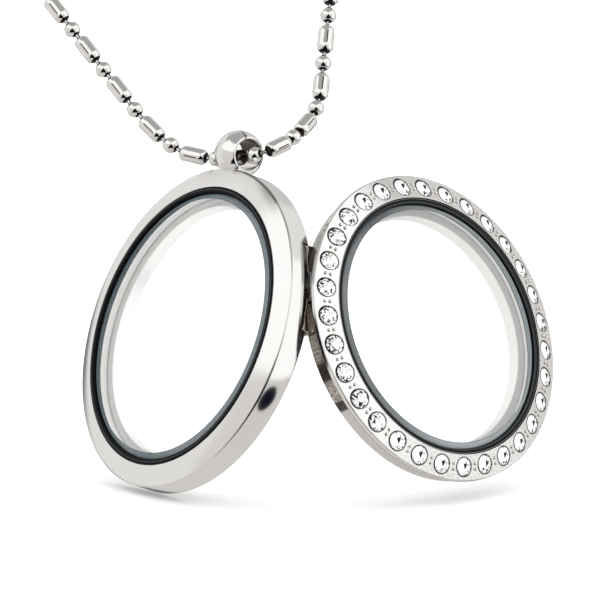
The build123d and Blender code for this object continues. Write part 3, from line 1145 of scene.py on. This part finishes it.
@dataclass
class StoneCircle:
    """The cut stones in the front bezel and the steel grains between them."""

    half: Half
    bezel: Bezel = Bezel()
    table_radius: float = 0.33
    star_radius: float = 0.62
    girdle_radius: float = 0.84
    table_height: float = 0.10
    star_height: float = 0.025
    girdle_height: float = -0.10
    culet_height: float = -0.68
    front_on_deg: float = 195.0
    wedge_deg: float = 95.0
    wedge_shift: float = 0.3
    star_deg: float = 60.0
    kite_deg: float = 300.0
    specks_deg: tuple[tuple[float, float], ...] = ((140.0, 70.0), (290.0, 60.0))
    edge_deg: float = 195.0
    grain_radius: float = 0.17
    grain_spread: float = 0.24
    grain_sides: int = 10
    grain_shade_deg: float = 210.0

    def build(self) -> None:
        """Cuts a stone for each crystal node and raises two grains in each gap."""
        clear_coat = {"Coat Weight": 0.4, "Coat Roughness": 0.02, "Specular IOR Level": 0.2}
        material = StoneFinish("foil_backed_stone", (0.97, 0.97, 0.97), 0.06, 0.25, clear_coat).material()
        random = np.random.default_rng(31)
        for number in range(1, self.bezel.stones + 1):
            turn = self.bezel.start_deg + (number - 1) * 360 / self.bezel.stones
            stone = self.cut(turn, random).mesh(f"stone_{number:02d}", material, 0)
            settle(stone, Body.FRONT, f"crystal_{number:02d}")
        log.info("stones: %d cut", self.bezel.stones)
        self.raise_grains()

    def on_bezel(self, turn_deg: float, radius: float, local: np.ndarray) -> np.ndarray:
        """Carries points from a place on the sloping bezel into the frame.

        The place's own axes are down the slope outwards, round the circle, and square to the slope.

        Args:
            turn_deg: The place's angle round the half.
            radius: Its distance from the half's axis.
            local: Points in the place's own axes, in millimetres.

        Returns:
            The points in the frame, in metres.
        """
        turn, slope = math.radians(turn_deg), math.radians(self.bezel.slope_deg)
        outward, up = np.array([math.cos(turn), math.sin(turn), 0.0]), np.array([0.0, 0.0, 1.0])
        across = outward * math.cos(slope) - up * math.sin(slope)
        square = outward * math.sin(slope) + up * math.cos(slope)
        axes = np.stack([across, np.cross(square, across), square])
        return self.half.place(outward * radius + up * self.bezel.height_at(radius) + local @ axes)

    def cut(self, turn_deg: float, random: np.random.Generator) -> Surface:
        """Cuts one stone: eight wedges as its table, eight stars, eight kites, sixteen edges and a back.

        Its corners lie on rings, and the stars' stand half a step round from the table's. The wedges meet
        at a place that is shifted away from the dark ones, which makes those large.

        Args:
            turn_deg: The stone's angle round the half.
            random: Source of the small turns that tell the stones apart.

        Returns:
            The stone in the frame.
        """
        spin = random.uniform(0, 45)
        eighths, sixteenths = np.arange(8) * 45 + spin, np.arange(16) * 22.5 + spin
        points = [
            rings(self.wedge_shift, self.table_height, np.array([self.wedge_deg + 180 - turn_deg])),
            rings(self.table_radius, self.table_height, eighths),
            rings(self.star_radius, self.star_height, eighths + 22.5),
            rings(self.girdle_radius, self.girdle_height, sixteenths),
            np.array([[0.0, 0.0, self.culet_height]]),
        ]
        middle, table, star, girdle, culet = 0, 1, 9, 17, 33
        k, edge = np.arange(8), np.arange(16)
        after, before = (k + 1) % 8, (k - 1) % 8
        groups = [
            (middle + 0 * k, table + k, table + after),
            (table + k, star + k, table + after),
            (table + k, star + before, girdle + 2 * k, star + k),
            (star + k, girdle + 2 * k, girdle + 2 * k + 1),
            (star + k, girdle + 2 * k + 1, girdle + 2 * after),
            (girdle + edge, culet + 0 * edge, girdle + (edge + 1) % 16),
        ]
        faces = [face for group in groups for face in np.stack(group, axis=1).tolist()]
        front_on = bool(self.near(turn_deg, self.front_on_deg, 50))
        tints = self.facet_tints(spin + turn_deg + 45 * k, front_on, random)
        return Surface(self.on_bezel(turn_deg, self.bezel.circle, np.concatenate(points)), faces, tints)

    @staticmethod
    def near(angle_deg: np.ndarray | float, other_deg: float, limit_deg: float) -> np.ndarray | bool:
        """Whether two directions lie less than a limit apart."""
        return np.abs((angle_deg - other_deg + 180) % 360 - 180) < limit_deg

    def facet_tints(self, kite_deg: np.ndarray, front_on: bool, random: np.random.Generator) -> np.ndarray:
        """Painted reflections: tints of a stone's facets, by the direction in which each facet lies from its
        middle.

        Most stones have a black wedge with brown stars beside it. Those that are seen from the front have a
        grey wedge and a ring of specks.

        Args:
            kite_deg: Directions of the eight kites; wedges and stars lie half a step on.
            front_on: Whether the stone is one of those that are seen from the front.
            random: Source of the specks.

        Returns:
            A tint for each facet, in the order in which they are cut.
        """
        wedge_deg = kite_deg + 22.5
        if front_on:
            wedges = np.where(self.near(wedge_deg, self.wedge_deg, 22), Facet.GREY, Facet.WHITE)
            stars = random.choice([Facet.PALE, Facet.SPECKED, Facet.SMOKY], 8)
            specked = sum(self.near(kite_deg, *fan) for fan in self.specks_deg) > 0
        else:
            wedges = np.where(self.near(wedge_deg, self.wedge_deg, 45), Facet.BLACK, Facet.WHITE)
            stars = np.where(self.near(wedge_deg, self.star_deg, 45), Facet.BROWN, Facet.PALE)
            specked = self.near(kite_deg, self.kite_deg, 50)
        kites = np.where(specked, Facet.SPECKED, Facet.WHITE)
        spread, shade = (50, Facet.SPECKED) if front_on else (80, Facet.WHITE)
        shaded = [self.near(kite_deg + step, self.edge_deg, spread) for step in (11.25, 33.75)]
        edges = [np.where(dark, shade, random.choice([Facet.WHITE, Facet.SPECKED], 8)) for dark in shaded]
        return np.concatenate([wedges, stars, kites, *edges, np.full(16, Facet.BACK)]).astype(float)

    def raise_grains(self) -> None:
        """Raises two small domes in each gap between stones, with painted shade on the side that the stones
        are.

        A dome at latitude b has a ring of radius r cos b at height r sin b above the bezel. The lowest row
        of its sides is the darkest, the next one less so, and the rest is bright.
        """
        latitude = np.radians([-20, 10, 40, 70])
        angle = np.arange(self.grain_sides) * 360 / self.grain_sides
        dome = rings(self.grain_radius * np.cos(latitude), self.grain_radius * np.sin(latitude), angle)
        faces = tube_faces(len(latitude), self.grain_sides)
        grains = []
        for turn in self.bezel.start_deg + (np.arange(self.bezel.stones) + 0.5) * 360 / self.bezel.stones:
            # Painted shade: the grains' lower rows are dark on one side.
            dark = self.near(angle + 180 / self.grain_sides + turn, self.grain_shade_deg, 70)
            depth = 1.0 if self.near(turn, self.front_on_deg, 60) else 0.3
            rows = [np.where(dark, depth * share, 0.1) for share in (1.0, 0.7)]
            tints = np.concatenate([*rows, np.zeros(self.grain_sides + 2)])
            for side in (-1, 1):
                points = self.on_bezel(turn, self.bezel.circle + side * self.grain_spread, dome)
                grains.append(Surface(points, faces, tints))
        steel = ChainSteel("grain_steel", (0.93, 0.92, 0.91), 0.15, 1.0).material()
        settle(Surface.joined(grains).mesh("bead_grains", steel, 50), Body.FRONT)
        log.info("bead_grains: %d raised", len(grains))


@dataclass
class LocketHalves:
    """Finishes for the rings, gaskets, glasses, pin and clasp that the frame brings."""

    back: Half
    front: Half
    nodes: dict[str, bpy.types.Object]
    bail: dict

    def build(self) -> None:
        """Dresses each node with its own finish."""
        # Painted highlights: the grey and pale lines round the black gaskets.
        black, grey, pale = (0.003, 0.003, 0.004), (0.06, 0.063, 0.066), (0.42, 0.41, 0.40)
        back_highlight_lines = ((0.0, black), (0.45, black), (0.55, grey), (0.65, black), (1.0, black))
        front_highlight_lines = (
            (0.0, black), (0.12, grey), (0.2, black), (0.3, grey),
            (0.38, black), (0.78, black), (0.83, pale), (0.88, black),
        )
        back_ring = {"half": self.back, "bail": self.bail}
        dull = {"Specular IOR Level": 0.15}
        rubber = {"base": black, "roughness": 0.6, "fixed": dull}
        back_rubber = {"inner": 12.54, "lines": back_highlight_lines}
        front_rubber = {"inner": 11.49, "lines": front_highlight_lines}
        glass = {"base": (0.9, 0.92, 0.93), "roughness": 0.02, "fixed": dull}
        front_sizes = {"face": 10.91, "edge": 11.46, "bevel_foot": 2.34, "band_foot": 1.76}
        front_glass = {"bevel": (0.05, 0.062, 0.067), "lit": (0.29, 0.325, 0.335), **front_sizes}
        finishes = {
            "back_frame": BackSteel("back_ring_steel", (0.92, 0.915, 0.905), 0.07, 1.0, **back_ring),
            "front_frame": FrontSteel("front_ring_steel", (0.95, 0.948, 0.94), 0.08, 1.0, half=self.front),
            "back_gasket": Rubber("back_rubber", half=self.back, **rubber, **back_rubber),
            "front_gasket": Rubber("front_rubber", half=self.front, **rubber, **front_rubber),
            "back_glass": WindowGlass("back_window", half=self.back, **glass),
            "front_glass": WindowGlass("front_window", half=self.front, **glass, **front_glass),
            "hinge_pin": TumbledSteel("pin_steel", (0.8, 0.79, 0.78), 0.12, 1.0),
            "clasp": TumbledSteel("clasp_steel", (0.9, 0.895, 0.885), 0.08, 1.0),
        }
        for node, finish in finishes.items():
            data = self.nodes[node].data
            data.materials.clear()
            data.materials.append(finish.material())
            log.info("%s: %s", node, finish.name)


@dataclass
class Studio:
    """White sweep, light tent and camera."""

    camera_place: Triple = (6.546, -560.78, -130.63)
    camera_tilt_deg: float = 82.0
    lens: float = 300.0
    floor_radius: float = 4.0
    floor_sides: int = 64
    floor_gap: float = 0.05
    plain: Colour = (1.45, 1.45, 1.45)
    surround: Colour = (0.80, 0.787, 0.768)
    ceiling: Colour = (0.40, 0.395, 0.39)
    near: Colour = (0.70, 0.682, 0.66)
    rear: Colour = (0.60, 0.59, 0.58)
    corner: Colour = (0.20, 0.195, 0.19)
    panel: Colour = (1.08, 1.075, 1.065)
    table: Colour = (0.66, 0.64, 0.615)
    doorway: Colour = (0.004, 0.004, 0.012)
    panel_from: float = 0.2
    panel_to: float = 1.8
    panel_foot: float = 0.34
    panel_top: float = 0.86
    right_from: float = 1.0
    right_foot: float = -0.4
    doorway_top: float = 0.5
    doorway_foot: float = -0.63
    doorway_spread: float = 0.82
    lamp: Triple = (66.0, -38.0, 7.5)
    rear_from: float = 2.6
    corner_from: float = 2.3
    table_top: float = -0.48

    def build(self, lowest: float) -> None:
        """Sets up camera, tent and floor.

        Args:
            lowest: Height of the object's lowest point, in metres.
        """
        self.aim_camera()
        self.light_tent()
        self.lay_floor(lowest)
        bpy.context.scene.view_settings.view_transform = "Standard"
        bpy.context.scene.view_settings.look = "None"

    def aim_camera(self) -> None:
        """Places a long lens level with the locket, a little above it."""
        camera = bpy.data.cameras.new("camera")
        camera.lens = self.lens
        camera.sensor_width = 36.0
        camera.clip_start, camera.clip_end = 0.05, 20.0
        carrier = bpy.data.objects.new("camera", camera)
        carrier.location = [c * MM for c in self.camera_place]
        carrier.rotation_euler = (math.radians(self.camera_tilt_deg), 0.0, 0.0)
        bpy.context.scene.collection.objects.link(carrier)
        bpy.context.scene.camera = carrier

    def light_tent(self) -> None:
        """White all round for the eye and for plain surfaces; steel sees the tent itself.

        The direction looked at gives an azimuth, which is 0 towards the camera's side and positive on the
        right, and a height between -1 and 1. Two white panels stand left and right of a dark doorway that
        widens downwards: its half width is its spread times the height still below its top. The right panel
        reaches lower than the left one. One dark lamp head stands low at the right. The room overhead and
        behind the object is dim, most of all low down behind it.
        """
        world = bpy.data.worlds.new("light_tent")
        world.use_nodes = True
        bpy.context.scene.world = world
        bench = Bench(world.node_tree)
        looked_at = bench.node("ShaderNodeTexCoord", {}, {}, "Generated")
        height = looked_at.dot((0, 0, 1))
        turned = looked_at.dot((1, 0, 0)).turn(looked_at.dot((0, -1, 0)))
        aside = turned.size()
        panels = aside.band(self.panel_from, self.panel_to, 0.12)
        panels = panels * height.band(self.panel_foot, self.panel_top, 0.05)
        lower = turned.band(self.right_from, self.panel_to, 0.08)
        lower = lower * height.band(self.right_foot, self.panel_foot, 0.1)
        doorway = ((self.doorway_top - height) * self.doorway_spread - aside).rise(0.0, 0.05)
        doorway = doorway * height.rise(self.doorway_foot - 0.03, self.doorway_foot + 0.03)
        azimuth, elevation, radius = np.radians(self.lamp)
        level = math.cos(elevation)
        towards = (level * math.sin(azimuth), -level * math.cos(azimuth), math.sin(elevation))
        lamp = looked_at.dot(towards).rise(math.cos(radius * 1.1), math.cos(radius))
        overhead = height.rise(0.80, 0.87).most(aside.rise(1.7, 2.0) * height.rise(0.62, 0.7))
        behind = aside.rise(self.rear_from, self.rear_from + 0.2) * height.size().fall(0.5, 0.62)
        low = aside.rise(self.corner_from, self.corner_from + 0.3) * height.fall(-0.02, 0.08)
        seen = bench.layered(
            self.surround,
            (aside.fall(1.45, 1.6) * height.fall(0.26, 0.34), self.near),
            (panels.most(lower), self.panel),
            (overhead, self.ceiling),
            (height.fall(self.table_top, self.table_top + 0.06), self.table),
            (behind, self.rear),
            (low * height.rise(-0.5, -0.4), self.corner),
            (doorway.most(lamp), self.doorway),
        )
        glossy = bench.node("ShaderNodeLightPath", {}, {}, "Is Glossy Ray")
        colour = bench.mix(glossy, self.plain, seen)
        light = bench.node("ShaderNodeBackground", {}, {"Color": colour, "Strength": 1.0})
        bench.node("ShaderNodeOutputWorld", {}, {"Surface": light})

    def lay_floor(self, lowest: float) -> None:
        """Lays a white disc just under the object.

        Args:
            lowest: Height of the object's lowest point, in metres.
        """
        corners = np.arange(self.floor_sides) * 360 / self.floor_sides
        rim = rings(self.floor_radius, lowest - self.floor_gap * MM, corners)
        paper = Finish("white_paper", (0.93, 0.93, 0.93), 0.9).material()
        floor = Surface(rim, [list(range(self.floor_sides))]).mesh("floor", paper, 0)
        floor.visible_glossy = False
        floor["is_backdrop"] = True


def main() -> None:
    """Builds everything in order, keeping the imported frame's box to lay the floor under it."""
    logging.basicConfig(level=logging.INFO, format="%(message)s")
    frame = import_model()
    cad_box = [list(corner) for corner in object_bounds()]
    nodes = frame["nodes"]
    joints = {joint["name"]: joint for joint in frame["joints"]}
    back = Half.read(nodes["back_glass"], joints["locket_hinge"], x_leaves_hinge=False)
    front = Half.read(nodes["front_glass"], joints["locket_hinge"], x_leaves_hinge=True)
    Studio().build(cad_box[0][2])
    NeckChain().build()
    LocketHalves(back, front, nodes, joints["pendant_swing"]).build()
    StoneCircle(front).build()


if __name__ == "__main__":
    main()
